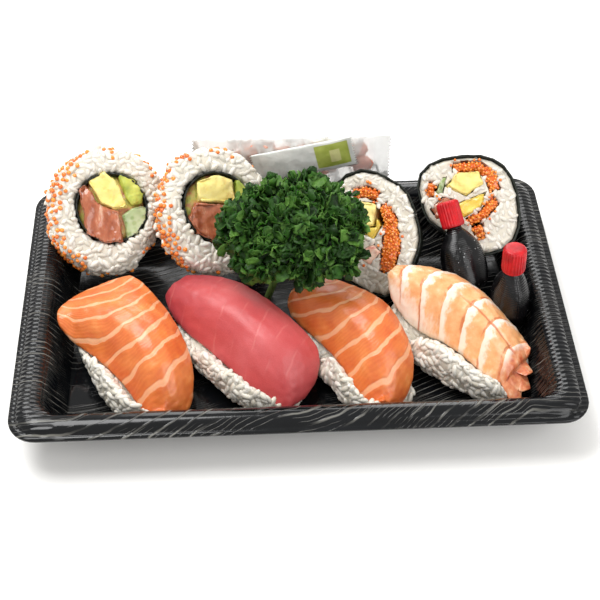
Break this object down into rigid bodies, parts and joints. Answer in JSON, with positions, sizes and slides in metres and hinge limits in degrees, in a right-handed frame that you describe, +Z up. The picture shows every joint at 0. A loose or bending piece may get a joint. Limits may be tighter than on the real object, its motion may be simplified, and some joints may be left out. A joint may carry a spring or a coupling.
{
  "type": "takeaway sushi tray",
  "caption": "Low black plastic tray of assorted sushi: nigiri in front, cut rolls leaning behind, with a sprig of parsley, soy bottles and condiment sachets.",
  "frame": {"origin": "centre of the tray's underside, on the surface it rests on", "axes": "+X along the tray's long side, towards the soy bottles; +Y towards the rolls and sachets; +Z up"},
  "size_m": [0.218, 0.1382, 0.0607],
  "materials": {
    "black_plastic": "thin formed sheet, glossy, with fine pale flow lines",
    "rice": "cooked short-grain rice, moist, grains showing",
    "nori": "dried seaweed sheet, softened by the rice",
    "salmon": "raw salmon slice with pale fat lines, moist",
    "tuna": "raw tuna slice, moist, faint grain",
    "prawn": "cooked prawn, opened flat, orange and white bands",
    "raw_salmon": "marinated raw salmon, brown-pink",
    "tamago": "rolled omelette, pale yellow with browned folds",
    "takuan": "pickled radish, yellow and wet",
    "avocado": "ripe avocado, yellow-green",
    "cucumber": "cucumber baton, pale green with dark skin",
    "roe": "orange flying-fish roe",
    "crab": "crab stick, pink outside, white inside",
    "parsley": "curly parsley leaves and stem",
    "clear_film": "clear film pouch of pink pickled ginger",
    "label_film": "white and green printed film pouch, left without words",
    "clear_plastic": "soft clear bottle plastic",
    "soy": "soy sauce, near black",
    "red_plastic": "ribbed red screw cap"
  },
  "bodies": {
    "root": {"bottle_1_cap": "red_plastic", "bottle_1_shell": "clear_plastic", "bottle_1_soy": "soy", "bottle_2_cap": "red_plastic", "bottle_2_shell": "clear_plastic", "bottle_2_soy": "soy", "futomaki_1_crab": "crab", "futomaki_1_cucumber": "cucumber", "futomaki_1_nori": "nori", "futomaki_1_rice": "rice", "futomaki_1_roe_1": "roe", "futomaki_1_roe_2": "roe", "futomaki_1_takuan": "takuan", "futomaki_1_tamago": "tamago", "futomaki_2_cucumber": "cucumber", "futomaki_2_nori": "nori", "futomaki_2_raw_fish": "raw_salmon", "futomaki_2_rice": "rice", "futomaki_2_roe_1": "roe", "futomaki_2_roe_2": "roe", "futomaki_2_roe_3": "roe", "futomaki_2_roe_4": "roe", "futomaki_2_takuan": "takuan", "futomaki_2_tamago": "tamago", "ginger_sachet": "clear_film", "parsley": "parsley", "prawn_nigiri_prawn": "prawn", "prawn_nigiri_rice": "rice", "salmon_nigiri_1_rice": "rice", "salmon_nigiri_1_salmon": "salmon", "salmon_nigiri_2_rice": "rice", "salmon_nigiri_2_salmon": "salmon", "tray": "black_plastic", "tuna_nigiri_rice": "rice", "tuna_nigiri_tuna": "tuna", "uramaki_1_avocado": "avocado", "uramaki_1_cucumber": "cucumber", "uramaki_1_nori": "nori", "uramaki_1_rice": "rice", "uramaki_1_salmon": "raw_salmon", "uramaki_1_tamago": "tamago", "uramaki_2_avocado": "avocado", "uramaki_2_cucumber": "cucumber", "uramaki_2_nori": "nori", "uramaki_2_rice": "rice", "uramaki_2_salmon": "raw_salmon", "uramaki_2_tamago": "tamago", "wasabi_sachet": "label_film"}
  },
  "joints": []
}
